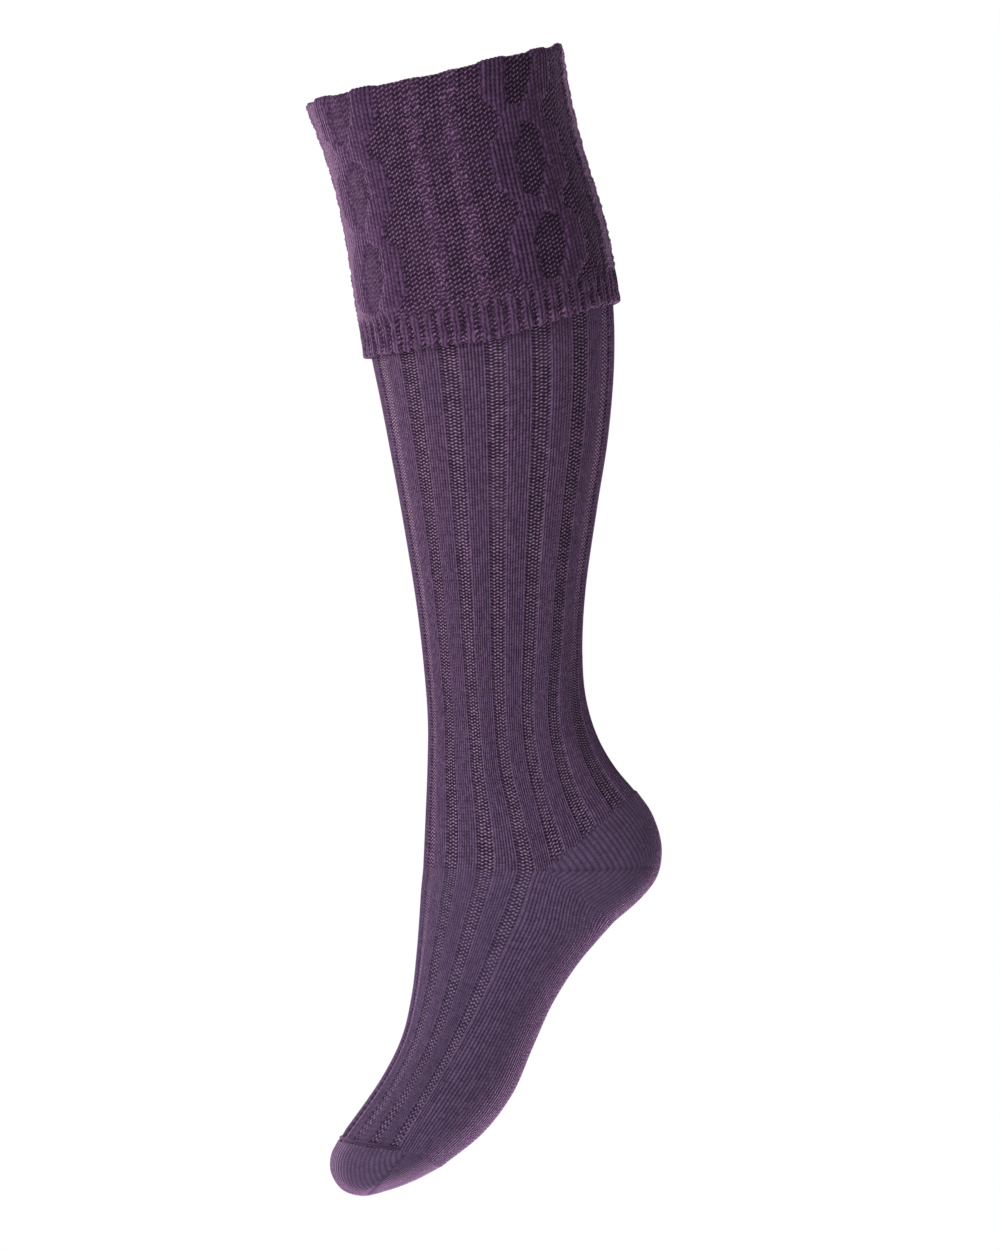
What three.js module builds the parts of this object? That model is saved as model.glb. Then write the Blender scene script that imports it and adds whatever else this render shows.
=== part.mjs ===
// A knitted kilt hose sock that keeps the form it has when worn: millimetres, +Z up.
// The origin is the middle of the leg opening. The toes point to -X, the heel to +X.
import * as THREE from 'three';
import { mergeVertices } from 'three/addons/utils/BufferGeometryUtils.js';

// Sizes of the whole sock
const legLength = 413; // leg opening down to the heel hinge
const calfDepth = 124; // front to back under the cuff
const calfWidth = 114; // side to side under the cuff
const ankleDepth = 82;
const ankleWidth = 68;
const heelReach = 60; // heel hinge to the back of the heel
const footReach = 195; // heel hinge towards the toes, along the foot
const footDepth = 86;
const footWidth = 87;
const footSlope = 56; // degrees that the foot points down
const toeReach = 41; // toe hinge to the tip

// Sizes of the knitting
const knitWall = 1.8; // wall of the leg and foot under a channel
const ribDepth = 1; // how far a channel sinks between two ribs
const ribCount = 16;
const ribsOverFoot = 8;
const channelHalf = 0.17; // half a channel, as a share of the step from rib to rib
const ribShoulder = 0.27; // channel middle to the flat top of a rib, as the same share
const soleMargin = 0.4; // last channel to the plain sole, as the same share
const cuffWall = 1.9;
const cuffClearance = 0.7; // between the leg and the turned-over cuff
const cuffDrop = 112; // fold to the top of the welt
const foldDepth = 15; // how far the cuff goes down inside the leg opening
const foldSwell = 2.4; // how much the fold stands up at the back
const foldSpread = 18; // degrees from the back over which it does
const cuffTwist = 8; // degrees that the pattern turns from the fold down
const twistRun = 35; // how far down most of that turn lies
const twistBack = 2; // degrees that it has turned past straight at the bottom
const weltHeight = 23;
const weltRibs = 56;
const weltRibHeight = 1;
const weltShoulder = 0.2; // share of the welt down to the full height of its ribs
const weltRoll = 0.85; // share of the welt down to its rolled hem
const hemShare = 0.6; // how thick the wall still is at the hem
const cableRise = 1.2;
const cablePeriod = 44.5; // from one crossing of the bands to the next
const cableStart = 29.5; // fold to the first crossing
const crossingRun = 12; // crossing to where the bands stand apart
const cableRepeats = 4;
const walesPerRepeat = 36;
const cableTurn = 34.5; // degrees from the front to the first cable
const bandHalf = 2.6; // half the width of a cable band, in wales
const bandNear = 1.2; // band to cable middle where the bands cross, in wales
const bandFar = 5.6; // the same where they stand apart
const bandCrown = 1.5; // how much steeper a band's sides are than a plain ridge
const ladderNear = 15.2; // cable middle to the first ladder, in wales
const ladderFar = 22.1; // the same to the second ladder
const ladderHalf = 1.7;
const ladderRise = 0.8;
const pieceGap = 0.4; // between two pieces of the sock
const cordRadius = 0.9; // linking cord across the toe
const cordKnot = 1.3; // how much thicker the cord is at its two ends
const knotPower = 12; // how short the thicker stretch is
const cordTurn = 9; // degrees that each end of the cord stops short of the toe hinge

// How finely each piece is divided: rows along it, columns or sides round it
const legRows = 12;
const footRows = 8;
const soleColumns = 13;
const pocketRows = 10;
const heelColumns = 26;
const toeColumns = 22;
const cuffRows = 14;
const cordRings = 24;
const cordSides = 6;
const sameCorner = 1e-4; // corners closer than this are one

// The leg, one row for each section from the opening to the heel hinge.
// down: share of legLength. across: share of calfDepth. Reaches: shares of the local depth.
// half: share of the local half width. ankle: how far the local sizes are those of the ankle.
// hinge: degrees from the front to the widest point.
const legTable = [
  // down, across, front reach, front rise, back reach, back rise, half, ankle, hinge
  [0.008, 0, 0.524, -0.094, 0.507, 0.136, 1.044, 0, 90],
  [0.077, 0.059, 0.491, -0.101, 0.486, 0.13, 1.053, 0, 90],
  [0.144, 0.122, 0.499, -0.08, 0.486, 0.109, 1.053, 0, 90],
  [0.21, 0.176, 0.514, -0.075, 0.499, 0.113, 1.044, 0, 90],
  [0.276, 0.222, 0.528, -0.075, 0.497, 0.134, 1.026, 0, 90],
  [0.337, 0.247, 0.52, -0.059, 0.497, 0.168, 1, 0, 90],
  [0.404, 0.256, 0.491, -0.017, 0.493, 0.143, 0.956, 0, 90],
  [0.483, 0.258, 0.477, -0.004, 0.499, 0.094, 0.954, 0.2, 90],
  [0.56, 0.258, 0.461, 0, 0.485, 0.058, 0.941, 0.4, 90],
  [0.661, 0.26, 0.453, 0, 0.481, 0.033, 0.941, 0.7, 90],
  [0.737, 0.268, 0.488, 0, 0.526, 0.051, 1.029, 1, 91],
  [0.815, 0.298, 0.504, 0.013, 0.504, 0.159, 0.985, 1, 94],
  [0.883, 0.344, 0.577, 0.038, 0.507, 0.26, 0.985, 1, 97],
  [0.947, 0.403, 0.679, 0.044, 0.526, 0.393, 0.985, 1, 99],
  [1, 0.461, 0.78, 0.013, 0.577, 0.495, 0.985, 1, 103],
];

const heelTurn = legTable[legTable.length - 1][8];

// The heel's outline about its hinge, as shares of heelReach: back, up.
const heelTable = [
  [0.789, 0.676],
  [0.91, 0.503],
  [0.988, 0.295],
  [1.005, 0.121],
  [0.962, -0.069],
  [0.832, -0.243],
  [0.589, -0.459],
];

// The foot, one row for each section. along: share of footReach. up: share of footDepth.
// half: share of half the foot width. hinge: degrees from the instep to the widest point.
const footTable = [
  // instep along, up, hinge along, up, sole along, up, half, hinge
  [0.179, 0.623, 0, 0, 0.016, -0.52, 0.77, 103],
  [0.231, 0.559, 0.12, -0.052, 0.083, -0.499, 0.782, 103],
  [0.295, 0.474, 0.217, -0.083, 0.166, -0.48, 0.805, 103],
  [0.374, 0.372, 0.33, -0.133, 0.286, -0.488, 0.851, 104],
  [0.479, 0.248, 0.445, -0.17, 0.413, -0.537, 0.92, 105],
  [0.584, 0.157, 0.566, -0.195, 0.544, -0.592, 0.977, 106],
  [0.7, 0.119, 0.689, -0.215, 0.674, -0.578, 1, 108],
  [0.909, 0.126, 0.819, -0.253, 0.812, -0.483, 0.897, 112],
];

const toeTurn = footTable[footTable.length - 1][7];

// The toe's outline about its hinge, as shares of toeReach: back, up.
const toeTable = [
  [0.419, -0.241],
  [0.076, -0.419],
  [-0.266, -0.545],
  [-0.596, -0.615],
  [-0.85, -0.533],
  [-0.989, -0.317],
  [-0.989, -0.101],
  [-0.9, 0.089],
];

const mix = (from, to, share) => from + (to - from) * share;
const spread = (first, last, count) =>
  Array.from({ length: count + 1 }, (unused, step) => mix(first, last, step / count));
const throughPoints = (points) => new THREE.CatmullRomCurve3(points, false, 'centripetal');

// A form is three curves down its front, its widest side and its back.
function formFrom(sections) {
  return {
    front: throughPoints(sections.map((section) => section.front)),
    side: throughPoints(sections.map((section) => section.side)),
    back: throughPoints(sections.map((section) => section.back)),
    hinges: sections.map((section) => section.hinge),
  };
}

function legSection([down, across, frontReach, frontRise, backReach, backRise, half, ankle, hinge]) {
  const depth = mix(calfDepth, ankleDepth, ankle);
  const x = across * calfDepth;
  const z = -down * legLength;
  return {
    front: new THREE.Vector3(x - frontReach * depth, 0, z + frontRise * depth),
    side: new THREE.Vector3(x, half * mix(calfWidth, ankleWidth, ankle) / 2, z),
    back: new THREE.Vector3(x + backReach * depth, 0, z + backRise * depth),
    hinge,
  };
}

const legSections = legTable.map(legSection);
const heelHinge = legSections[legSections.length - 1].side;
const footDown = THREE.MathUtils.degToRad(footSlope);

function footPoint(along, up, y) {
  const run = along * footReach;
  const lift = up * footDepth;
  return new THREE.Vector3(
    heelHinge.x - run * Math.cos(footDown) - lift * Math.sin(footDown),
    y,
    heelHinge.z - run * Math.sin(footDown) + lift * Math.cos(footDown),
  );
}

function footSection([instepAlong, instepUp, along, up, soleAlong, soleUp, half, hinge]) {
  return {
    front: footPoint(instepAlong, instepUp, 0),
    side: footPoint(along, up, half * footWidth / 2),
    back: footPoint(soleAlong, soleUp, 0),
    hinge,
  };
}

const footSections = footTable.map(footSection);
const toeHinge = footSections[footSections.length - 1].side;

// A pocket fans out from one hinge: its sections share their side point.
function pocketSections(table, middle, reach, hinge, shift) {
  return table.map(([back, up]) => ({
    front: new THREE.Vector3(middle.x - reach, 0, middle.z),
    side: new THREE.Vector3(middle.x + shift[0], middle.y, middle.z + shift[1]),
    back: new THREE.Vector3(middle.x + back * reach, 0, middle.z + up * reach),
    hinge,
  }));
}

const legForm = formFrom(legSections);
const footForm = formFrom(footSections);
const heelForm = formFrom(pocketSections(heelTable, heelHinge, heelReach, heelTurn, [2 * pieceGap, 0]));
const toeForm = formFrom(pocketSections(toeTable, toeHinge, toeReach, toeTurn, [-pieceGap, -2 * pieceGap]));

function sectionAt(form, share) {
  const last = form.hinges.length - 1;
  const row = Math.min(Math.floor(share * last), last - 1);
  const side = form.side.getPoint(share);
  return {
    front: form.front.getPoint(share),
    middle: new THREE.Vector3(side.x, 0, side.z),
    back: form.back.getPoint(share),
    half: side.y,
    hinge: mix(form.hinges[row], form.hinges[row + 1], share * last - row),
  };
}

// A point on the form's skin, or above or below it by rise. Angle 0 is the front, 90 the -Y side.
function skinPoint(form, share, angle, rise) {
  const section = sectionAt(form, share);
  const turn = ((angle % 360) + 360) % 360;
  const away = turn > 180 ? 360 - turn : turn;
  const ahead = away <= section.hinge;
  const quarter = ahead ? away / section.hinge : 1 + (away - section.hinge) / (180 - section.hinge);
  const swing = quarter * Math.PI / 2;
  const reach = (ahead ? section.front : section.back).clone().sub(section.middle);
  const grown = (reach.length() + rise) / reach.length();
  const point = section.middle.clone().addScaledVector(reach, Math.abs(Math.cos(swing)) * grown);
  point.y = (section.half + rise) * Math.sin(swing) * (turn > 180 ? 1 : -1);
  return point;
}

// Which share of a form lies at a distance down its table's first column
function shareAt(stops, distance) {
  const row = Math.max(1, stops.findIndex((stop) => stop >= distance));
  return (row - 1 + (distance - stops[row - 1]) / (stops[row] - stops[row - 1])) / (stops.length - 1);
}

const legStops = legTable.map(([down]) => (down - legTable[0][0]) * legLength);
const footStops = footTable.map((row) => row[2] * footReach);
const cordStop = footStops[footStops.length - 1] - cordRadius - pieceGap / 2;
const legShare = (distance) => shareAt(legStops, distance);
const footShare = (distance) => shareAt(footStops, distance);

// One closed body from loops of points, each of them once round the cut wall
function wallBody(loops, wraps) {
  const count = loops[0].length;
  const strips = wraps ? loops.length : loops.length - 1;
  const faces = [];
  for (let strip = 0; strip < strips; strip += 1) {
    const near = strip * count;
    const far = ((strip + 1) % loops.length) * count;
    for (let step = 0; step < count; step += 1) {
      const next = (step + 1) % count;
      faces.push([near + step, near + next, far + next]);
      faces.push([near + step, far + next, far + step]);
    }
  }
  const open = new THREE.BufferGeometry().setFromPoints(loops.flat());
  open.setIndex(faces.flat());
  return withoutFlatFaces(mergeVertices(open, sameCorner));
}

function withoutFlatFaces(geometry) {
  const index = Array.from(geometry.index.array);
  const kept = [];
  for (let corner = 0; corner < index.length; corner += 3) {
    const [a, b, c] = index.slice(corner, corner + 3);
    if (a !== b && b !== c && c !== a) {
      kept.push(a, b, c);
    }
  }
  geometry.setIndex(kept);
  geometry.computeVertexNormals();
  return geometry;
}

// Rib relief: four corners a rib, two down in the channel and two up on the rib
const ribStep = 360 / ribCount;
const ribCorners = [
  [-channelHalf, -ribDepth],
  [channelHalf, -ribDepth],
  [ribShoulder, 0],
  [1 - ribShoulder, 0],
];

function ribColumns(firstRib, lastRib) {
  const columns = [];
  for (let rib = firstRib; rib < lastRib; rib += 1) {
    ribCorners.forEach(([share, rise]) => columns.push({ angle: (rib + share) * ribStep, rise }));
  }
  return columns;
}

function tubeLoops(form, columns, outerShares, innerShares, inside) {
  return columns.map(({ angle, rise }) => [
    ...outerShares.map((share) => skinPoint(form, share, angle, rise)),
    ...innerShares.map((share) => skinPoint(form, share, angle, inside)),
  ]);
}

const legEnd = legStops[legStops.length - 1] - pieceGap / 2;
const legRowStops = spread(foldDepth + pieceGap, legEnd, legRows);

function makeLeg() {
  const outer = legRowStops.map(legShare);
  const inner = outer.slice().reverse();
  const columns = ribColumns(0, ribCount);
  return wallBody(tubeLoops(legForm, columns, outer, inner, -ribDepth - knitWall), true);
}

function makeFoot() {
  const start = pieceGap / 2;
  const soleEnd = footStops[footStops.length - 1] - pieceGap / 2;
  const instepEnd = cordStop - cordRadius - pieceGap;
  const ribs = ribsOverFoot / 2;
  const instep = ribColumns(-ribs, ribs);
  instep.push({ angle: (ribs - channelHalf) * ribStep, rise: -ribDepth });
  instep.push({ angle: (ribs + channelHalf) * ribStep, rise: -ribDepth });
  const soleStart = (ribs + soleMargin) * ribStep;
  const sole = spread(soleStart, 360 - soleStart, soleColumns).map((angle) => ({ angle, rise: 0 }));
  const loops = [...instep, ...sole].map(({ angle, rise }) => {
    const overInstep = angle < toeTurn || angle > 360 - toeTurn;
    const end = overInstep ? instepEnd : soleEnd;
    return [
      ...spread(start, end, footRows).map((stop) => skinPoint(footForm, footShare(stop), angle, rise)),
      ...spread(end, start, footRows).map((stop) =>
        skinPoint(footForm, footShare(stop), angle, -ribDepth - knitWall)),
    ];
  });
  return wallBody(loops, true);
}

// A pocket is a cup: its loops shrink to the hinge at both sides.
function makePocket(form, inset, hinge, columns) {
  const outer = spread(inset, 1 - inset, pocketRows);
  const inner = spread(1 - inset, inset, pocketRows / 2);
  const angles = spread(hinge, 360 - hinge, columns).map((angle) => ({ angle, rise: 0 }));
  return wallBody(tubeLoops(form, angles, outer, inner, -ribDepth - knitWall), false);
}

// The cable's two bands run straight down, and step across each other at each crossing.
function cuffRise(wale, distance) {
  const fromStart = (distance - cableStart) / cablePeriod;
  const fromCrossing = Math.abs(fromStart - Math.round(fromStart)) * cablePeriod;
  const offset = mix(bandNear, bandFar, THREE.MathUtils.smoothstep(fromCrossing, 0, crossingRun));
  const fromBand = Math.abs(Math.abs(wale) - offset);
  return cableRise * THREE.MathUtils.clamp(bandCrown * (1 - fromBand / bandHalf), 0, 1);
}

// Corners over one repeat, in wales from the middle of a cable, and the rise of the ladders
const bandEdges = [bandNear - bandHalf / 2, bandFar - bandHalf, bandFar - bandHalf / 2,
  bandFar + bandHalf / 2, bandFar + bandHalf];
const cuffCorners = [
  ...bandEdges.map((wale) => [-Math.abs(wale), 0]).sort((one, other) => one[0] - other[0]),
  ...bandEdges.map((wale) => [Math.abs(wale), 0]),
  [ladderNear - ladderHalf, 0],
  [ladderNear, ladderRise],
  [ladderNear + ladderHalf, 0],
  [ladderFar - ladderHalf, 0],
  [ladderFar, ladderRise],
  [ladderFar + ladderHalf, 0],
];

function foldLift(angle) {
  const away = (((angle % 360) + 360) % 360 - 180) / foldSpread;
  return foldSwell * Math.exp(-away * away);
}

function twistAt(distance) {
  return cuffTwist * Math.exp(-distance / twistRun) - twistBack;
}

function makeCuff() {
  const inside = -ribDepth - knitWall;
  const outside = cuffClearance + cuffWall;
  const foldMiddle = (inside + outside) / 2;
  const foldHalf = (outside - inside) / 2;
  const degreesPerWale = 360 / (cableRepeats * walesPerRepeat);
  const foldTop = foldHalf / 2;
  const foldTurns = [150, 110, 70, 30];
  const outer = spread(2 * foldTop, cuffDrop - pieceGap, cuffRows);
  // The inner face has its rows where the leg has them, so the two stay the same way apart.
  const behind = legRowStops.filter((stop) => stop < cuffDrop - pieceGap).reverse();
  const inner = [cuffDrop - pieceGap, ...behind, 2 * foldTop];
  const loops = [];
  for (let repeat = 0; repeat < cableRepeats; repeat += 1) {
    cuffCorners.forEach(([wale, ladder]) => {
      const angle = cableTurn + repeat * 360 / cableRepeats + wale * degreesPerWale;
      const at = (distance, rise) =>
        skinPoint(legForm, legShare(distance), angle + twistAt(distance), rise);
      const fold = foldTurns.map((turn) => {
        const swing = THREE.MathUtils.degToRad(turn);
        const point = at(2 * foldTop, foldMiddle + foldHalf * Math.cos(swing));
        point.z += foldHalf * Math.sin(swing) + foldLift(angle);
        return point;
      });
      loops.push([
        at(foldDepth, inside),
        ...fold,
        ...outer.map((distance) => at(distance, outside + ladder + cuffRise(wale, distance))),
        ...inner.map((distance) => at(distance, cuffClearance)),
        at(2 * foldTop, 0),
        at(foldDepth, 0),
      ]);
    });
  }
  return wallBody(loops, true);
}

function makeWelt() {
  const columns = spread(0, 360, 2 * weltRibs).slice(0, -1);
  const loops = columns.map((angle, index) => {
    const at = (distance, rise) => skinPoint(legForm, legShare(distance), angle, cuffClearance + rise);
    const rise = cuffWall + (index % 2) * weltRibHeight;
    return [
      at(cuffDrop, cuffWall),
      at(cuffDrop + weltShoulder * weltHeight, rise),
      at(cuffDrop + weltRoll * weltHeight, rise),
      at(cuffDrop + weltHeight, hemShare * rise),
      at(cuffDrop + weltHeight, 0),
      at(cuffDrop, 0),
    ];
  });
  return wallBody(loops, true);
}

// The linking cord lies in the slot between the instep and the toe pocket.
function makeSeam() {
  const angles = spread(cordTurn - toeTurn, toeTurn - cordTurn, cordRings);
  const path = throughPoints(angles.map((angle) =>
    skinPoint(footForm, footShare(cordStop), angle, -cordRadius)));
  const frames = path.computeFrenetFrames(cordRings, false);
  const rings = spread(0, 1, cordRings).map((share, index) => {
    const swell = mix(1, cordKnot, Math.abs(2 * share - 1) ** knotPower);
    return spread(0, 2 * Math.PI, cordSides).slice(0, -1).map((turn) => path.getPoint(share)
      .addScaledVector(frames.normals[index], cordRadius * swell * Math.cos(turn))
      .addScaledVector(frames.binormals[index], cordRadius * swell * Math.sin(turn)));
  });
  const closedEnd = (ring) => {
    const middle = ring.reduce((sum, point) => sum.add(point), new THREE.Vector3());
    middle.divideScalar(ring.length);
    return ring.map(() => middle.clone());
  };
  return wallBody([closedEnd(rings[0]), ...rings, closedEnd(rings[rings.length - 1])], false);
}

function wool(name, geometry, colour) {
  const material = new THREE.MeshStandardMaterial({ color: colour, roughness: 0.95, metalness: 0 });
  const mesh = new THREE.Mesh(geometry, material);
  mesh.name = name;
  return mesh;
}

const sock = new THREE.Group();
sock.name = 'kilt_hose_sock';
sock.add(
  wool('turnover_cuff', makeCuff(), '#4a344e'),
  wool('cuff_welt', makeWelt(), '#4c3652'),
  wool('ribbed_leg', makeLeg(), '#543f57'),
  wool('heel_pocket', makePocket(heelForm, pieceGap / heelReach, heelTurn, heelColumns), '#4e4159'),
  wool('foot', makeFoot(), '#58485f'),
  wool('toe_pocket', makePocket(toeForm, pieceGap / toeReach, toeTurn, toeColumns), '#5a4760'),
  wool('toe_seam', makeSeam(), '#3a2b40'),
);

export default sock;
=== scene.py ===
import math

import bpy
import numpy as np
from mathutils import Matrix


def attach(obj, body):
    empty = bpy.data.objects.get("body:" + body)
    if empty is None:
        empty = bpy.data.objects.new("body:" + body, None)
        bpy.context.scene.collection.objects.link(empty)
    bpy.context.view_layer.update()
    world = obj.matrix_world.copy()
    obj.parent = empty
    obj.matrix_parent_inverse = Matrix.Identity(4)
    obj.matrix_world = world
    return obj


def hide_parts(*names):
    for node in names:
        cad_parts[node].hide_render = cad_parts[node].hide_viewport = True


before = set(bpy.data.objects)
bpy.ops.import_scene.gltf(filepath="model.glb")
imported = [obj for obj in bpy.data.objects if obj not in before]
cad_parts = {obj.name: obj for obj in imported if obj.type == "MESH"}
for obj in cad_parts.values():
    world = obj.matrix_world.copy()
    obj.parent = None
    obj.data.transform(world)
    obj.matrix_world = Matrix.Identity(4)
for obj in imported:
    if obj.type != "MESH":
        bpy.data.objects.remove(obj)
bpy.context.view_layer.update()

# A knitted kilt hose sock, filled out as on a leg. +Z is up, the toes point to -X.
# Angles round the sock run from 0 at the shin, 90 at the side that faces the camera, to 180 at the calf.
mm = 0.001

body = {
    "legLength": 413 * mm,
    "calfDepth": 124 * mm,
    "calfWidth": 114 * mm,
    "ankleDepth": 82 * mm,
    "ankleWidth": 68 * mm,
    "heelReach": 60 * mm,
    "footReach": 195 * mm,
    "footDepth": 86 * mm,
    "footWidth": 87 * mm,
    "footSlope": 56,  # degrees down
    "toeReach": 41 * mm,
    "wall": 2.8 * mm,  # rib crest to the inside of the knitting
}

# down, across, front reach, front rise, back reach, back rise, half, ankle, hinge
legTable = np.array([
    (0.008, 0, 0.524, -0.094, 0.507, 0.136, 1.044, 0, 90),
    (0.077, 0.059, 0.491, -0.101, 0.486, 0.13, 1.053, 0, 90),
    (0.144, 0.122, 0.499, -0.08, 0.486, 0.109, 1.053, 0, 90),
    (0.21, 0.176, 0.514, -0.075, 0.499, 0.113, 1.044, 0, 90),
    (0.276, 0.222, 0.528, -0.075, 0.497, 0.134, 1.026, 0, 90),
    (0.337, 0.247, 0.52, -0.059, 0.497, 0.168, 1, 0, 90),
    (0.404, 0.256, 0.491, -0.017, 0.493, 0.143, 0.956, 0, 90),
    (0.483, 0.258, 0.477, -0.004, 0.499, 0.094, 0.954, 0.2, 90),
    (0.56, 0.258, 0.461, 0, 0.485, 0.058, 0.941, 0.4, 90),
    (0.661, 0.26, 0.453, 0, 0.481, 0.033, 0.941, 0.7, 90),
    (0.737, 0.268, 0.488, 0, 0.526, 0.051, 1.029, 1, 91),
    (0.815, 0.298, 0.504, 0.013, 0.504, 0.159, 0.985, 1, 94),
    (0.883, 0.344, 0.577, 0.038, 0.507, 0.26, 0.985, 1, 97),
    (0.947, 0.403, 0.679, 0.044, 0.526, 0.393, 0.985, 1, 99),
    (1, 0.461, 0.78, 0.013, 0.577, 0.495, 0.985, 1, 103),
])

# back, up: the heel's outline about its hinge
heelTable = [
    (0.789, 0.676), (0.91, 0.503), (0.988, 0.295), (1.005, 0.121),
    (0.962, -0.069), (0.832, -0.243), (0.589, -0.459),
]

# instep along, up, hinge along, up, sole along, up, half, hinge
footTable = np.array([
    (0.179, 0.623, 0, 0, 0.016, -0.52, 0.77, 103),
    (0.231, 0.559, 0.12, -0.052, 0.083, -0.499, 0.782, 103),
    (0.295, 0.474, 0.217, -0.083, 0.166, -0.48, 0.805, 103),
    (0.374, 0.372, 0.33, -0.133, 0.286, -0.488, 0.851, 104),
    (0.479, 0.248, 0.445, -0.17, 0.413, -0.537, 0.92, 105),
    (0.584, 0.157, 0.566, -0.195, 0.544, -0.592, 0.977, 106),
    (0.7, 0.119, 0.689, -0.215, 0.674, -0.578, 1, 108),
    (0.909, 0.126, 0.819, -0.253, 0.812, -0.483, 0.897, 112),
])

# back, up: the toe's outline about its hinge
toeTable = [
    (0.419, -0.241), (0.076, -0.419), (-0.266, -0.545), (-0.596, -0.615),
    (-0.85, -0.533), (-0.989, -0.317), (-0.989, -0.101), (-0.9, 0.089),
]


def smoothStep(low, high, value):
    share = np.clip((value - low) / (high - low), 0, 1)
    return share * share * (3 - 2 * share)


def curveAt(points, share):
    # a smooth curve through the points, the same as the one that the solids follow
    last = len(points) - 1
    place = np.clip(share, 0, 1) * last
    knot = np.minimum(place.astype(int), last - 1)
    weight = (place - knot)[:, None]
    ends = np.vstack([2 * points[0] - points[1], points, 2 * points[-1] - points[-2]])
    before, start, end, after = (ends[knot + step] for step in range(4))

    def span(first, second):
        return np.sqrt(np.maximum(np.linalg.norm(second - first, axis=1, keepdims=True), 1e-9))

    lead, middle, tail = span(before, start), span(start, end), span(end, after)
    leave = ((start - before) / lead - (end - before) / (lead + middle) + (end - start) / middle) * middle
    arrive = ((end - start) / middle - (after - start) / (middle + tail) + (after - end) / tail) * middle
    square = -3 * start + 3 * end - 2 * leave - arrive
    cube = 2 * start - 2 * end + leave + arrive
    return start + weight * leave + weight ** 2 * square + weight ** 3 * cube


def legForm():
    down, across, frontReach, frontRise, backReach, backRise, half, ankle, hinge = legTable.T
    depth = body["calfDepth"] * (1 - ankle) + body["ankleDepth"] * ankle
    width = body["calfWidth"] * (1 - ankle) + body["ankleWidth"] * ankle
    x, z, none = across * body["calfDepth"], -down * body["legLength"], 0 * down
    return {
        "front": np.column_stack([x - frontReach * depth, none, z + frontRise * depth]),
        "side": np.column_stack([x, half * width / 2, z]),
        "back": np.column_stack([x + backReach * depth, none, z + backRise * depth]),
        "hinge": hinge,
        "stops": (down - down[0]) * body["legLength"],
    }


leg = legForm()
heelHinge = leg["side"][-1]


def footForm():
    slope = math.radians(body["footSlope"])

    def footPoint(along, up, y):
        run, lift = along * body["footReach"], up * body["footDepth"]
        x = heelHinge[0] - run * math.cos(slope) - lift * math.sin(slope)
        z = heelHinge[2] - run * math.sin(slope) + lift * math.cos(slope)
        return np.column_stack([x, y, z])

    instepAlong, instepUp, along, up, soleAlong, soleUp, half, hinge = footTable.T
    return {
        "front": footPoint(instepAlong, instepUp, 0 * half),
        "side": footPoint(along, up, half * body["footWidth"] / 2),
        "back": footPoint(soleAlong, soleUp, 0 * half),
        "hinge": hinge,
        "stops": along * body["footReach"],
    }


foot = footForm()
toeHinge = foot["side"][-1]


def pocketForm(outline, middle, reach, hinge):
    turns = np.array(outline) * reach
    side = np.tile(middle, (len(turns), 1))
    back = np.column_stack([middle[0] + turns[:, 0], 0 * turns[:, 0], middle[2] + turns[:, 1]])
    front = np.column_stack([side[:, 0] - reach, 0 * turns[:, 0], side[:, 2]])
    return {"front": front, "side": side, "back": back, "hinge": np.full(len(turns), hinge)}


heel = pocketForm(heelTable, heelHinge, body["heelReach"], leg["hinge"][-1])
toe = pocketForm(toeTable, toeHinge, body["toeReach"], foot["hinge"][-1])


def shareAt(form, distance):
    stops = form["stops"]
    return np.interp(distance, stops, np.linspace(0, 1, len(stops)))


def skin(form, share, angle, rise):
    # points on the form's skin, or above or below it by rise
    share, angle, rise = np.broadcast_arrays(np.asarray(share, float), angle, rise)
    front, side, back = (curveAt(form[line], share) for line in ("front", "side", "back"))
    hinge = np.interp(share, np.linspace(0, 1, len(form["hinge"])), form["hinge"])
    half = side[:, 1].copy()
    middle = side * (1, 0, 1)
    turn = np.mod(angle, 360)
    away = np.where(turn > 180, 360 - turn, turn)
    ahead = away <= hinge
    quarter = np.where(ahead, away / hinge, 1 + (away - hinge) / (180 - hinge))
    swing = quarter * math.pi / 2
    reach = np.where(ahead[:, None], front, back) - middle
    length = np.linalg.norm(reach, axis=1)
    grown = np.abs(np.cos(swing)) * (length + rise) / length
    points = middle + reach * grown[:, None]
    points[:, 1] = (half + rise) * np.sin(swing) * np.where(turn > 180, 1, -1)
    return points


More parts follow.
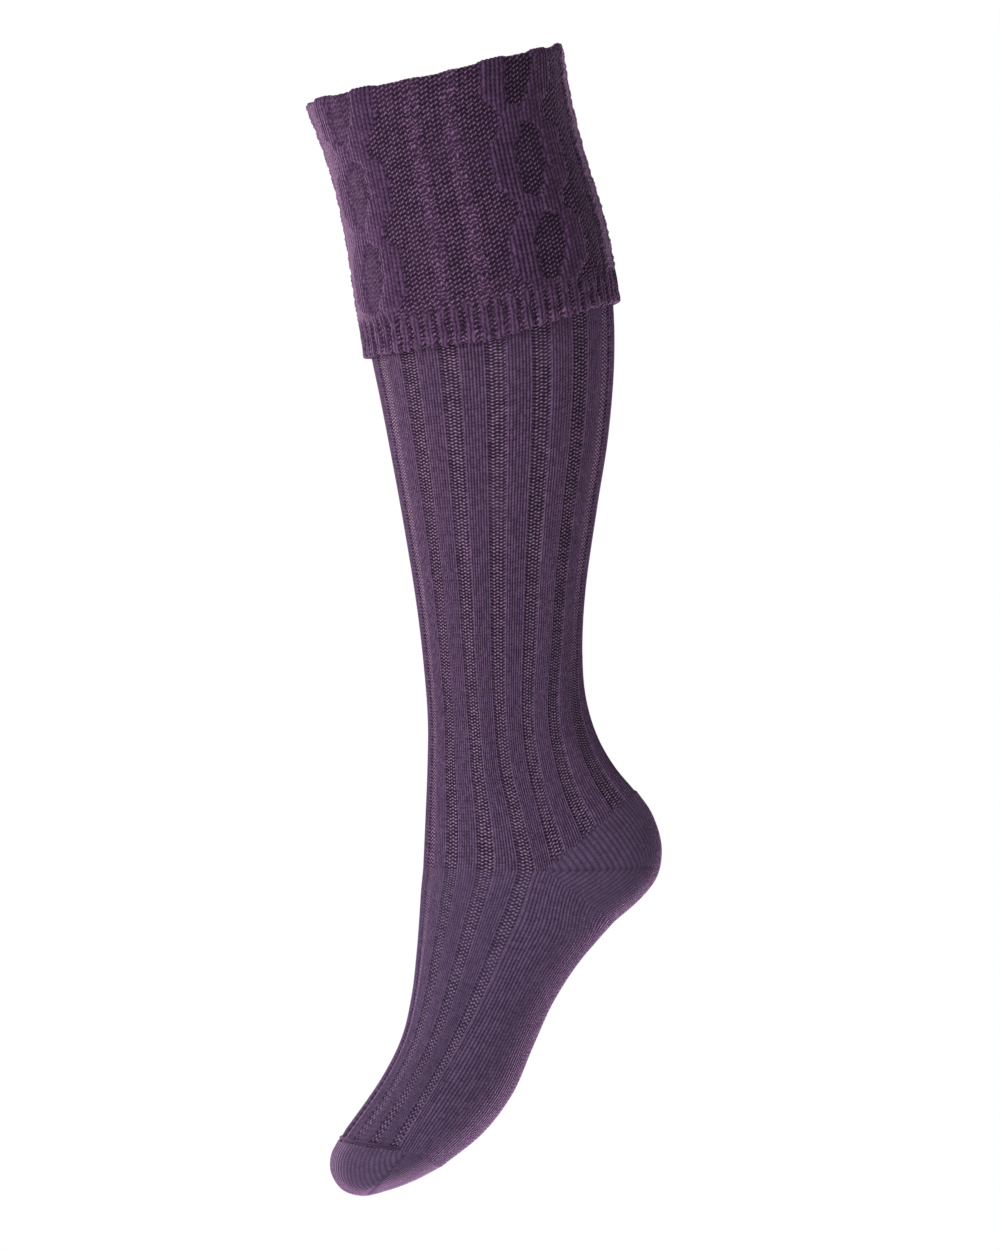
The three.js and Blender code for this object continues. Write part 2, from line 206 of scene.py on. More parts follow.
def weave(name, columns, rows, shape, stitch):
    # a flat grid is wrapped on the form, and its edges are sewn together where they meet.
    # shape gives the points and how the wool looks there, stitch the place in the knitting
    bpy.ops.object.select_all(action="DESELECT")
    bpy.ops.mesh.primitive_grid_add(x_subdivisions=columns, y_subdivisions=rows, size=2)
    piece = bpy.context.object
    piece.name = piece.data.name = name
    mesh = piece.data
    flat = np.empty(len(mesh.vertices) * 3)
    mesh.vertices.foreach_get("co", flat)
    flat = flat.reshape(-1, 3)
    column = np.rint((flat[:, 0] + 1) / 2 * columns)
    row = np.rint((flat[:, 1] + 1) / 2 * rows).astype(int)
    points, marks = shape(column, row)
    mesh.vertices.foreach_set("co", points.ravel())
    corner = np.empty(len(mesh.loops), int)
    mesh.loops.foreach_get("vertex_index", corner)
    cornerColumn, cornerRow = column[corner], row[corner]
    faceColumn = cornerColumn.reshape(-1, 4).mean(axis=1).repeat(4)
    faceRow = cornerRow.reshape(-1, 4).mean(axis=1).repeat(4)
    across, along = stitch(cornerColumn, cornerRow, faceColumn, faceRow)
    layer = mesh.uv_layers[0]
    layer.name = "stitches"
    layer.data.foreach_set("uv", np.column_stack([across, along]).ravel())
    # the marks: purl; painted shade, or a painted highlight where below nought, with a little of the wool's
    # own tone; and tangle
    for label in ("purl", "paintedShadeAndTone", "tangle"):
        values = marks.get(label, 0) + np.zeros(len(column))
        mesh.attributes.new(label, "FLOAT", "POINT").data.foreach_set("value", values)
    bpy.ops.object.mode_set(mode="EDIT")
    bpy.ops.mesh.select_all(action="SELECT")
    bpy.ops.mesh.remove_doubles(threshold=0.003 * mm)
    if inward(piece):
        bpy.ops.mesh.flip_normals()
    bpy.ops.object.mode_set(mode="OBJECT")
    bpy.ops.object.shade_smooth()
    print("woven", name, len(mesh.polygons), "faces")
    return piece


def inward(piece):
    # the volume that the faces enclose is below nought where they point inwards
    bpy.ops.object.mode_set(mode="OBJECT")
    mesh = piece.data
    mesh.calc_loop_triangles()
    place = np.empty(len(mesh.vertices) * 3)
    mesh.vertices.foreach_get("co", place)
    index = np.empty(len(mesh.loop_triangles) * 3, int)
    mesh.loop_triangles.foreach_get("vertices", index)
    a, b, c = place.reshape(-1, 3)[index.reshape(-1, 3)].transpose(1, 0, 2)
    bpy.ops.object.mode_set(mode="EDIT")
    return np.einsum("ij,ij->i", a, np.cross(b, c)).sum() < 0


def ringOf(*stretches):
    # a loop of rows once round a cut wall: distance, rise, how much relief, lift
    rows = np.vstack([np.column_stack(np.broadcast_arrays(*stretch)) for stretch in stretches])
    return np.vstack([rows, rows[:1]])


def plainStitch(across, height):
    # every wale of plain knitting is a round cord between two grooves
    lean = 2 * np.abs(np.mod(across, 1) - 0.5)
    return height * (1 - lean ** 2)


purlSwing = 1.35  # how far up and down a purl bump's ends lie, as an angle


def purlStitch(across, along, height):
    # purl bumps lie as bricks do, half a row apart from wale to wale
    turn = 2 * math.pi
    arcs = 0.5 + 0.5 * np.cos(turn * along + purlSwing * np.cos(turn / 2 * across))
    return height * arcs * (0.68 + 0.32 * np.cos(turn * across))


class Value:
    # a number in a shader, so that sums can be written as sums
    def __init__(self, dye, socket):
        self.dye, self.socket = dye, socket

    def do(self, operation, *others):
        inputs = dict(enumerate((self, *others)))
        return self.dye.number("ShaderNodeMath", {"operation": operation}, inputs)

    def __add__(self, other):
        return self.do("ADD", other)

    def __sub__(self, other):
        return self.do("SUBTRACT", other)

    def __mul__(self, other):
        return self.do("MULTIPLY", other)

    def __rsub__(self, other):
        return (self * -1).do("ADD", other)

    __radd__ = __add__
    __rmul__ = __mul__


class Dye:
    # a material and its nodes
    def __init__(self, name):
        self.material = bpy.data.materials.new(name)
        self.material.use_nodes = True
        self.tree = self.material.node_tree
        self.tree.nodes.clear()

    def node(self, kind, settings=None, inputs=None):
        made = self.tree.nodes.new(kind)
        for setting, value in (settings or {}).items():
            setattr(made, setting, value)
        for socket, value in (inputs or {}).items():
            value = value.socket if isinstance(value, Value) else value
            if isinstance(value, bpy.types.NodeSocket):
                self.tree.links.new(value, made.inputs[socket])
            else:
                made.inputs[socket].default_value = value
        return made

    def number(self, kind, settings=None, inputs=None, output=0):
        return Value(self, self.node(kind, settings, inputs).outputs[output])

    def blend(self, share, first, second, kind="MIX"):
        settings = {"data_type": "RGBA", "blend_type": kind, "clamp_factor": True}
        made = self.node("ShaderNodeMix", settings, {0: share, 6: first, 7: second})
        return made.outputs[2]


wool = {
    # groove is painted shade between the stitches, lit and litPurl are painted highlights on the tops of
    # plain stitches and purl bumps
    "groove": (0.010, 0.004, 0.013, 1),  # between the stitches
    "yarn": (0.056, 0.029, 0.062, 1),
    "lit": (0.130, 0.078, 0.142, 1),  # top of a plain stitch
    "litPurl": (0.420, 0.255, 0.370, 1),  # top of a purl bump
    "cool": (1, 1.08, 1.07, 1),  # tint of the foot over that of the calf
    "sheen": (0.88, 0.46, 0.82, 1),
    "sheenRoughness": 0.28,
    "bump": 0.9,
    # how far the mark of painted shade darkens the wool, or lightens it as a painted highlight where it is
    # below nought
    "paintedShadeWeight": 0.3,
    "chance": 0.24,  # how unlike two stitches may be
    "wander": (0.16, 0.5),  # of wales and rows from their place, in stitches
    "tangled": (1.8, 2.2),  # and how much more of it where the yarn is tangled
    "vee": 0.45,  # rows that a plain stitch's arms lean over
    "uneven": 0.7,  # rows by which one wale is ahead of the next
    "coolFrom": 1 / 4.5,  # metres under the opening where the foot's tint begins, whole at twice that
}


def knitWool(name, wale, relief, tone=(1, 1, 1), slant=0.0, contrast=1.0, purlLight=1.0, glow=0.5):
    # wale is the width of a stitch, relief the height of its bump, slant the lean of a purl bump
    dye = Dye(name)
    turn = 2 * math.pi
    stitches = dye.node("ShaderNodeUVMap", {"uv_map": "stitches"}).outputs[0]
    parts = dye.node("ShaderNodeSeparateXYZ", None, {0: stitches}).outputs
    place = dye.node("ShaderNodeTexCoord").outputs["Object"]

    def mark(label):
        return dye.number("ShaderNodeAttribute", {"attribute_name": label}, output=2)

    def noise(scale, detail=2.0, coarse=0.5):
        inputs = {"Vector": place, "Scale": scale, "Detail": detail, "Roughness": coarse}
        return dye.number("ShaderNodeTexNoise", {"noise_dimensions": "3D"}, inputs)

    purl, paintedShadeAndTone, tangle = mark("purl"), mark("paintedShadeAndTone"), mark("tangle")
    # yarn is never quite even, and the twisted columns of the cuff wander most
    waleWander, rowWander = (near + tangle * far for near, far in zip(wool["wander"], wool["tangled"]))
    along = Value(dye, parts[1]) + (noise(0.35 / wale) - 0.5) * rowWander
    across = Value(dye, parts[0]) + (noise(0.43 / wale) - 0.5) * waleWander
    lean = (across.do("FRACT") - 0.5).do("ABSOLUTE") * 2.0
    cord = 1.0 - lean * lean
    offset = dye.number("ShaderNodeTexWhiteNoise", {"noise_dimensions": "1D"}, {"W": across.do("FLOOR")})
    armed = along + offset * wool["uneven"] - lean * wool["vee"]
    vee = 0.5 + (armed * turn).do("COSINE") * 0.5
    plain = cord * 0.76 + vee * (0.44 - cord * 0.28) - 0.1
    bend = (across * (turn / 2)).do("COSINE") * purlSwing + (across * turn).do("SINE") * slant
    arcs = 0.5 + (along * turn + bend).do("COSINE") * 0.5
    bumpy = arcs * (0.4 + arcs * 0.6) * (0.7 + (across * turn).do("COSINE") * 0.3)
    stitch = plain + (bumpy - plain) * purl
    cell = dye.node("ShaderNodeCombineXYZ", None, {0: across.do("FLOOR"), 1: along.do("FLOOR")})
    chance = dye.number("ShaderNodeTexWhiteNoise", {"noise_dimensions": "2D"}, {"Vector": cell.outputs[0]})
    fibre = noise(2.4 / wale, 3.0, 0.65)
    cloud = noise(38.0, 3.0, 0.6)
    shade = stitch * 0.92 + fibre * 0.5 - 0.8 + (chance - 0.5) * wool["chance"] + purl * 0.12
    shade = 0.5 + (shade - paintedShadeAndTone * wool["paintedShadeWeight"]) * contrast + tangle * 0.08

    def toned(colour, factor=1.0):
        return tuple(channel * share * factor for channel, share in zip(colour, tone)) + (1,)

    # painted light and shade: the wool runs from the groove's painted shade to the painted highlight of the
    # tops as the stitch rises
    top = dye.blend(purl, toned(wool["lit"]), toned(wool["litPurl"], purlLight))
    low = dye.blend(shade * 2.0, toned(wool["groove"]), toned(wool["yarn"]))
    colour = dye.blend(shade * 2.0 - 1.0, low, top)
    colour = dye.blend((cloud - 0.5) * 1.1, colour, toned(wool["yarn"], 1.3))
    height = Value(dye, dye.node("ShaderNodeSeparateXYZ", None, {0: place}).outputs[2])
    colour = dye.blend(height * (-1 / wool["coolFrom"]) - 1.0, colour, wool["cool"], "MULTIPLY")
    bump = dye.node("ShaderNodeBump", None, {
        "Strength": wool["bump"], "Distance": relief, "Height": stitch * 0.85 + fibre * 0.3})
    surface = dye.node("ShaderNodeBsdfPrincipled", None, {
        "Base Color": colour,
        "Roughness": 0.98 - fibre * 0.1,
        "Sheen Weight": glow,
        "Sheen Roughness": wool["sheenRoughness"],
        "Sheen Tint": wool["sheen"],
        "Specular IOR Level": 0.2,
        "Normal": bump.outputs[0],
    })
    dye.node("ShaderNodeOutputMaterial", None, {0: surface.outputs[0]})
    return dye.material


def finishPiece(piece, material, slot, *nodes):
    piece.data.materials.clear()
    piece.data.materials.append(material)
    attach(piece, "root")
    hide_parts(*nodes)


legKnit = {
    "wales": 192,
    "walesPerRib": 12,
    "pointsPerWale": 4,
    "rowHeight": 1.76 * mm,
    "channelHalf": 2,  # in wales, which are wider there than on the ribs
    "channelTurn": 4.6,  # degrees from a channel's middle to its edge
    "ribHeight": 1.05 * mm,
    "cordHeight": 0.45 * mm,
    "crown": 0.25 * mm,
    "underCuff": 124 * mm,  # plain out of sight
    "hiddenRows": 8,
    "shownRows": 100,
    "insideRows": 14,
    "top": 15.4 * mm,
    "fade": 3 * mm,
    "edge": 0.12 * mm,  # a last narrow row keeps the cut edge sharp
}


def fromChannel(wale, knit):
    # wales to the middle of the nearest channel
    perRib = knit["walesPerRib"]
    return np.mod(wale + perRib / 2, perRib) - perRib / 2


def ribAngle(wale, knit):
    edge, edgeTurn, half = knit["channelHalf"], knit["channelTurn"], knit["walesPerRib"] / 2
    ribWale = fromChannel(wale, knit)
    away = np.abs(ribWale)
    onRib = edgeTurn + (away - edge) / (half - edge) * (half * 360 / knit["wales"] - edgeTurn)
    turn = np.where(away < edge, away / edge * edgeTurn, onRib)
    return (wale - ribWale) * 360 / knit["wales"] + np.sign(ribWale) * turn


def ribRelief(wale, across, knit, ribbed):
    # across counts the cords, wale the places in the ribs
    away = np.abs(fromChannel(wale, knit))
    channel = (1 - smoothStep(knit["channelHalf"] - 0.2, knit["channelHalf"] + 0.4, away)) * ribbed
    cords = (plainStitch(across, knit["cordHeight"]) - knit["cordHeight"]) * (1 - channel)
    half = knit["walesPerRib"] / 2
    onRib = (half - away) / (half - knit["channelHalf"])
    crown = knit["crown"] * (1 - onRib ** 2) * (1 - channel) * ribbed
    # the rib's first wale catches light, and the channel's side lies in shade
    paintedHighlight = np.exp(-((away - knit["channelHalf"] - 0.65) / 0.4) ** 2) * ribbed
    side = np.exp(-((away - knit["channelHalf"] + 0.1) / 0.35) ** 2) * ribbed
    # painted highlight on the rib's first wale, painted shade on the channel's side
    shade = 0.12 * side - 0.35 * paintedHighlight
    return cords + crown - knit["ribHeight"] * channel, channel, shade


# At these distances past the heel's hinge, in millimetres, and at these degrees from the shin:
# how many degrees the ribs lie off the even spacing of the calf
driftPlaces = np.array([-130, -57, -27, 0, 35, 100, 200]) * mm
driftAngles = [0, 22.5, 45, 67.5, 90, 103, 112.5, 135, 157.5, 180]
ribDrift = [
    (0, 0, 0, 0, 0, 0, 0, 0, 0, 0),
    (0, 0, 0, 1.5, -1, -3, -5, -9, -9, 0),
    (0, 0, 1, 2.5, 1.5, -2, -4.5, -10, -10, 0),
    (0, 0, 1.5, 3, 4, 0, -3, -8, -9, 0),
    (0, 0, 2, 3.5, 4.5, 4, 3, 2, 1, 0),
    (0, 0, 1.5, 3, 4, 4, 3.5, 2, 1, 0),
    (0, 1, 3, 4.5, 6.5, 6.5, 5.5, 3, 1, 0),
]
ankleBend = {"run": 9 * mm, "turn": 1.8}  # rounds the ribs' corner at the hinge


def driftAt(past, angle):
    turn = np.mod(angle, 360)
    away = np.minimum(turn, 360 - turn)
    place = np.interp(past, driftPlaces, np.arange(len(driftPlaces)))
    shift = 0 * away
    for index, row in enumerate(ribDrift):
        share = np.clip(1 - np.abs(place - index), 0, 1)
        shift = shift + smoothStep(0, 1, share) * np.interp(away, driftAngles, row)
    corner = np.sin(np.clip(away / leg["hinge"][-1], 0, 1) * math.pi)
    run = ankleBend["run"]
    shift = shift - ankleBend["turn"] * corner * (np.sqrt(past ** 2 + run ** 2) - np.abs(past)) / run
    return np.where(turn > 180, -shift, shift)


def makeLeg():
    knit = legKnit
    end = leg["stops"][-1]
    hidden = np.linspace(knit["top"], knit["underCuff"], knit["hiddenRows"], endpoint=False)
    shown = np.linspace(knit["underCuff"], end - knit["edge"], knit["shownRows"])
    ring = ringOf(
        (knit["top"], 0, 0, 0),
        (hidden[1:], 0, 1, 0),
        (shown, 0, 1, 0),
        (end, 0, 1, 0),
        (np.linspace(end, knit["top"], knit["insideRows"]), -body["wall"], 0, 0),
    )
    columns = knit["wales"] * knit["pointsPerWale"]

    def shape(column, row):
        distance, rise, much = ring[row, :3].T
        wale = column / knit["pointsPerWale"]
        angle = ribAngle(wale, knit)
        # the ribs level out over the heel
        behind = np.minimum(angle, 360 - angle) > leg["hinge"][-1]
        fade = np.where(behind, smoothStep(0, knit["fade"], end - distance), 1)
        relief, channel, shade = ribRelief(wale, wale, knit, fade)
        angle = angle + driftAt(distance - end, angle)
        points = skin(leg, shareAt(leg, distance), angle, rise + relief * much)
        return points, {"purl": np.where(much > 0, channel, 1), "paintedShadeAndTone": shade * much}

    def stitch(column, row, faceColumn, faceRow):
        return column / knit["pointsPerWale"], ring[row, 0] / knit["rowHeight"]

    return weave("ribbedLeg", columns, len(ring) - 1, shape, stitch)


# the foot's ribs are the leg's. soleStart is in degrees from the instep
footKnit = dict(legKnit, shownRows=84, insideRows=12, rowHeight=2.05 * mm)
footKnit.update(instepRibs=8, soleStart=95.5, soleWales=58)
cordSeat = {
    "radius": 0.8 * mm,
    "slot": 1.1 * mm,  # half the groove that the cord lies in
    "depth": 0.7 * mm,
    "back": 1.1 * mm,  # cord middle to the end of the foot
    "reach": 103,  # degrees each way from the instep
    "shade": 1.2,
}


def footPlace(column):
    # a column's angle, its place in the ribs, and its count of wales, which are wide on the sole
    knit = footKnit
    wale = column / knit["pointsPerWale"]
    edge = knit["walesPerRib"] * knit["instepRibs"] / 2 + knit["channelHalf"]
    edgeTurn = 90 + knit["channelTurn"]
    across = (wale - edge) / (knit["wales"] - 2 * edge)
    onSole = (across > 0) & (across < 1)
    angle = np.where(onSole, edgeTurn + across * (360 - 2 * edgeTurn), ribAngle(wale, knit))
    counted = edge + np.clip(across, 0, 1) * knit["soleWales"]
    beyond = np.where(across < 0, wale, edge + knit["soleWales"] + wale - (knit["wales"] - edge))
    return angle, wale, np.where(onSole, counted, beyond)


def makeFoot():
    knit = footKnit
    end = foot["stops"][-1]
    between = np.linspace(0, end, knit["shownRows"])[1:-1]
    rows = np.concatenate([[0, knit["edge"]], between, [end - knit["edge"], end]])
    ring = ringOf(
        (rows, 0, 1, 0),
        (np.linspace(end, 0, knit["insideRows"]), -body["wall"], 0, 0),
    )
    columns = knit["wales"] * knit["pointsPerWale"]

    def shape(column, row):
        distance, rise, much = ring[row, :3].T
        angle, wale, across = footPlace(column)
        away = np.minimum(angle, 360 - angle)
        ribbed = 1 - smoothStep(knit["soleStart"] - 0.5, knit["soleStart"] + 0.5, away)
        relief, channel, shade = ribRelief(wale, across, knit, ribbed)
        angle = angle + driftAt(distance, angle)
        away = np.minimum(angle, 360 - angle)
        slot = np.exp(-((end - distance - cordSeat["back"]) / cordSeat["slot"]) ** 2)
        slot = slot * (1 - smoothStep(cordSeat["reach"] - 2, cordSeat["reach"] + 2, away))
        relief = relief * (1 - slot) - cordSeat["depth"] * slot
        points = skin(foot, shareAt(foot, distance), angle, rise + relief * much)
        # painted shade in the groove that the cord lies in
        paintedShadeAndTone = (shade + cordSeat["shade"] * slot) * much
        return points, {"purl": np.where(much > 0, channel, 1), "paintedShadeAndTone": paintedShadeAndTone}

    def stitch(column, row, faceColumn, faceRow):
        startRow = leg["stops"][-1] / legKnit["rowHeight"]
        return footPlace(column)[2], startRow + ring[row, 0] / knit["rowHeight"]

    return weave("footTube", columns, len(ring) - 1, shape, stitch)


heelKnit = {
    "columns": 296,
    "rows": 92,
    "wales": 56,  # round the back, from hinge to hinge
    "half": 76 * mm,  # hinge to the middle of the back, over the skin
    "wedge": (39, 39),  # degrees from the start and the end to the gusset line
    "rowHeight": 1.5 * mm,
    "cordHeight": 0.3 * mm,
    "gussetDepth": 0.35 * mm,
    "gussetWidth": 0.9 * mm,
    "edge": 0.002,  # share of the outline, for a narrow row at each end
}
toeKnit = dict(heelKnit, columns=280, rows=112, wales=46, half=60 * mm, wedge=(102.5, 53.5))


def pocketStitch(knit, form, angle, fanned):
    # wales turn at the gusset line, so that each is a chevron. fanned is the angle from the start
    hinge = form["hinge"][0]
    away = np.minimum(angle, 360 - angle)
    out = (away - hinge) / (180 - hinge)
    start, end = knit["wedge"]
    fromGusset = fanned - start
    wedge = min(start, end)
    tilt = np.radians(np.clip(wedge - np.abs(fromGusset), 0, wedge))
    spare = smoothStep(0.55, 1, out)
    narrow = 1 - (1 - np.cos(tilt)) * (1 - spare)
    extra = np.radians(np.clip(np.abs(fromGusset) - wedge, 0, 180))
    wale = out * narrow * knit["wales"] / 2
    along = knit["half"] * out * (np.sin(tilt) - extra) / knit["rowHeight"]
    return wale, along, out, fromGusset


def fanAngle(form, share):
    back = curveAt(form["back"], share) - form["side"][0] * (1, 0, 1)
    turn = np.degrees(np.unwrap(np.arctan2(back[:, 2], back[:, 0])))
    return turn[0] - turn


def makePocket(name, form, knit):
    between = np.linspace(0, 1, knit["rows"])[1:-1]
    lines = np.concatenate([[0, knit["edge"]], between, [1 - knit["edge"], 1]])
    ring = ringOf(
        (lines, 0, 1, 0),
        (np.linspace(1, 0, knit["rows"] // 4), -body["wall"], 0, 0),
    )
    hinge = form["hinge"][0]
    fans = fanAngle(form, ring[:, 0])

    def shape(column, row):
        share, rise, much = ring[row, :3].T
        angle = hinge + column / knit["columns"] * (360 - 2 * hinge)
        wale, along, out, fromGusset = pocketStitch(knit, form, angle, fans[row])
        cords = plainStitch(wale, knit["cordHeight"]) - knit["cordHeight"]
        beside = np.radians(fromGusset) * out * knit["half"]
        gusset = np.exp(-(beside / knit["gussetWidth"]) ** 2)
        gusset = gusset * (1 - smoothStep(0.7, 0.95, out)) * smoothStep(0, 0.03, out)
        relief = cords * smoothStep(0, 0.04, out) - knit["gussetDepth"] * gusset
        points = skin(form, share, angle, rise + relief * much)
        # painted shade along the groove of the gusset line
        return points, {"purl": np.where(much > 0, 0, 1), "paintedShadeAndTone": 0.8 * gusset * much}

    def stitch(column, row, faceColumn, faceRow):
        angle = hinge + column / knit["columns"] * (360 - 2 * hinge)
        wale, along, out, fromGusset = pocketStitch(knit, form, angle, fans[row])
        return wale, along

    return weave(name, knit["columns"], len(ring) - 1, shape, stitch)


cuffKnit = {
    "wales": 144,
    "pointsPerWale": 4,
    "rowHeight": 2.42 * mm,
    "rows": 45,
    "pointsPerRow": 3,
    "repeats": 4,
    "turn": 34.5,  # degrees from the shin to the first cable
    "twist": 8,  # degrees that the pattern turns on its way down
    "twistRun": 35 * mm,
    "twistBack": 2,
    "clearance": 0.7 * mm,
    "wall": 1.9 * mm,
    "drop": 112 * mm,  # fold to the top of the welt
    "foldRows": 15,
    "foldDepth": 15 * mm,
    "foldSwell": 2.4 * mm,
    "foldSpread": 18,  # degrees
    "bandWale": 0.867,  # lines of stitches in a band and on the ground lie closer than the wales
    "groundWale": 0.8,
    "cableHeight": 0.95 * mm,
    "start": 29.5 * mm,  # fold to the middle of the first crossing
    "period": 44.5 * mm,
    "closed": 3 * mm,  # half the stretch where the two bands touch
    "stitchHeight": 0.5 * mm,
    "cordHeight": 0.42 * mm,
    "bandCord": 0.6 * mm,
    "ladders": (15.2, 22.1),  # in wales from the middle of a cable
    "ladderHalf": 1.9,  # in wales
    "ladderHeight": 1 * mm,
    "insideRows": 12,
}


# how dark the cuff's wool is painted there, below nought is lighter: painted shade in the hole between the
# bands and beside them, a painted highlight on the bands' edges, lighter ladders, the shin side painted
# lighter and the calf side painted darker
cuffLook = {
    "betweenBands": 0.25,
    "besideBands": 0.25,
    "paintedHighlight": -0.5,
    "ladder": -0.2,
    "brushedAndLit": -0.2,
    "feltedAndShaded": 0.45,
}


def twistAt(distance):
    knit = cuffKnit
    return knit["twist"] * np.exp(-distance / knit["twistRun"]) - knit["twistBack"]


# A band's edges in wales from the middle of the cable, away from a crossing and in it,
# and how far above and below the crossing they begin and end their way in, in millimetres
bandEdges = {
    "leftOuter": (-8.2, -5.0, 13, 14),
    "leftInner": (-3.0, 0.2, 7, 15),
    "rightInner": (3.0, -0.2, 20, 7),
    "rightOuter": (8.2, 5.0, 13, 10),
}


def edgeAt(edge, away):
    far, near, above, below = bandEdges[edge]
    closed = cuffKnit["closed"]
    run = np.where(away < 0, above, below) * mm - closed
    share = np.clip((np.abs(away) - closed) / run, 0, 1)
    stepped = np.rint(share * 4) / 4  # an edge moves over by whole wales
    return near + (far - near) * (0.7 * stepped + 0.3 * share)


def cableAt(wale, distance):
    # two bands of plain wales run straight down, and close up at each crossing
    knit = cuffKnit
    perRepeat = knit["wales"] / knit["repeats"]
    local = np.mod(wale - knit["turn"] / 360 * knit["wales"] + perRepeat / 2, perRepeat) - perRepeat / 2
    count = (distance - knit["start"]) / knit["period"]
    away = (count - np.rint(count)) * knit["period"]
    uneven = 0.3 * np.sin(distance * 900 + local) + 0.2 * np.sin(distance * 2300)
    edge = {name: edgeAt(name, away) + uneven for name in bandEdges}
    left = np.minimum(local - edge["leftOuter"], edge["leftInner"] - local)
    right = np.minimum(local - edge["rightInner"], edge["rightOuter"] - local)
    return {
        "local": local,
        "across": local / knit["bandWale"],
        "inside": np.maximum(left, right),  # wales from the nearest edge of a band
        "between": (local > edge["leftInner"]) & (local < edge["rightInner"]),
        "near": 1 - smoothStep(knit["closed"], 4 * knit["closed"], np.abs(away)),
    }


def cuffStitch(wale, distance):
    # height over the ground, and how the wool is to look there
    knit = cuffKnit
    cable = cableAt(wale, distance)
    inBand = smoothStep(-0.25, 0.35, cable["inside"])
    inPanel = np.mod(cable["local"], knit["wales"] / knit["repeats"])
    fromLadders = (inPanel[None] - np.reshape(knit["ladders"], (-1, 1))) / knit["ladderHalf"]
    ladder = np.clip(1 - fromLadders ** 2, 0, 1).sum(axis=0)
    along = distance / knit["rowHeight"]
    plain = plainStitch(cable["across"], knit["bandCord"])
    bumps = purlStitch(wale / knit["groundWale"], along, knit["stitchHeight"])
    blobs = 0.5 + 0.5 * np.sin(2.3 * along + 2.1 * np.sin(0.9 * along + wale))
    band = knit["cableHeight"] * smoothStep(-0.4, 1.1, cable["inside"])
    height = band + plain * inBand + bumps * (1 - inBand)
    height = height + ladder * knit["ladderHeight"] * (0.35 + 0.65 * blobs)
    # painted shade on the ground beside the bands, and a painted highlight along the bands' edges
    beside = np.exp(-(np.minimum(cable["inside"], 0) / 0.9) ** 2) * (1 - inBand)
    paintedHighlight = np.exp(-((cable["inside"] - 0.45) / 0.35) ** 2) * inBand
    # the wool is brushed up along the shin, and felted along the calf; its tone there is also painted light
    # on the shin side and painted shade on the calf side
    front = np.cos(2 * math.pi * wale / knit["wales"])
    brushedAndLit, feltedAndShaded = smoothStep(0.6, 0.85, front), smoothStep(0.74, 0.9, -front)
    look = cuffLook
    shadow = look["betweenBands"] * cable["between"] * (1 - inBand) + look["besideBands"] * beside
    shadow = shadow + look["paintedHighlight"] * paintedHighlight + look["ladder"] * ladder
    twisted = np.maximum(ladder, 0.45 * cable["near"] * inBand)
    return height, {
        "purl": (1 - inBand) * (1 - 0.15 * ladder) * (1 - 0.5 * brushedAndLit - 0.35 * feltedAndShaded),
        "paintedShadeAndTone": shadow * (1 - 0.6 * brushedAndLit) + look["brushedAndLit"] * brushedAndLit + look["feltedAndShaded"] * feltedAndShaded,
        "tangle": np.maximum(twisted, 0.35 * brushedAndLit + 0.75 * feltedAndShaded),
    }


def foldLift(angle):
    # the fold stands higher at the calf
    away = (np.mod(angle, 360) - 180) / cuffKnit["foldSpread"]
    return cuffKnit["foldSwell"] * np.exp(-away ** 2)


def makeCuff():
    knit = cuffKnit
    inside, outside = -body["wall"], knit["clearance"] + knit["wall"]
    middle, half = (inside + outside) / 2, (outside - inside) / 2
    turns = np.radians(np.linspace(180, 0, knit["foldRows"]))[1:-1]
    outward = smoothStep(-1, 0.6, np.cos(turns))
    shown = np.linspace(half, knit["drop"], knit["rows"] * knit["pointsPerRow"])
    ring = ringOf(
        (np.array([knit["foldDepth"], half]), inside, 0, 0),
        (half, middle + half * np.cos(turns), outward, half * np.sin(turns)),
        (shown, outside, 1, 0),
        (np.linspace(knit["drop"], half, knit["insideRows"]), knit["clearance"], 0, 0),
        (np.array([half, knit["foldDepth"]]), 0, 0, 0),
    )
    columns = knit["wales"] * knit["pointsPerWale"]
    # stitches run on over the fold, measured back from it
    along = ring[:, 0] - half * np.arctan2(ring[:, 3], np.maximum(ring[:, 1] - middle, 1e-6))

    def shape(column, row):
        distance, rise, much, lift = ring[row].T
        angle = column / columns * 360 + twistAt(distance)
        height, marks = cuffStitch(column / knit["pointsPerWale"], along[row])
        share = shareAt(leg, distance)
        points = skin(leg, share, angle, rise + height * much)
        out = skin(leg, share, angle, rise + mm) - skin(leg, share, angle, rise)
        out /= np.linalg.norm(out, axis=1, keepdims=True)
        up = np.array([0, 0, 1]) - out[:, 2:] * out
        up /= np.linalg.norm(up, axis=1, keepdims=True)
        raised = lift * (1 + height * much / half)
        points += up * raised[:, None]
        points[:, 2] += foldLift(angle) * smoothStep(0, half, lift)
        return points, {
            "purl": np.where(much > 0.3, marks["purl"], 1),
            "paintedShadeAndTone": marks["paintedShadeAndTone"] * much,
            "tangle": marks["tangle"] * much,
        }

    def stitch(column, row, faceColumn, faceRow):
        wale = column / knit["pointsPerWale"]
        distance = along[row]
        cable = cableAt(wale, distance)
        faceDistance = np.interp(faceRow, np.arange(len(along)), along)
        face = cableAt(faceColumn / knit["pointsPerWale"], faceDistance)
        ground = wale / knit["groundWale"]
        return np.where(face["inside"] > 0, cable["across"], ground), distance / knit["rowHeight"]

    return weave("turnoverCuff", columns, len(ring) - 1, shape, stitch)


weltKnit = {
    "wales": 168,
    "pointsPerWale": 4,
    "height": 23 * mm,
    "rows": 10,
    "pointsPerRow": 3,
    "ribWales": 3,
    "ribHeight": 0.36 * mm,
    "ribStart": (1 * mm, 8 * mm),  # where the ribs begin and are whole, below the cuff's pattern
    "rollHeight": 0.5 * mm,
    "hem": (1 * mm, 6 * mm),  # where the hem's roll is whole and where it ends, from the bottom
    "lobe": 0.9 * mm,  # how far each rib hangs below the grooves
}


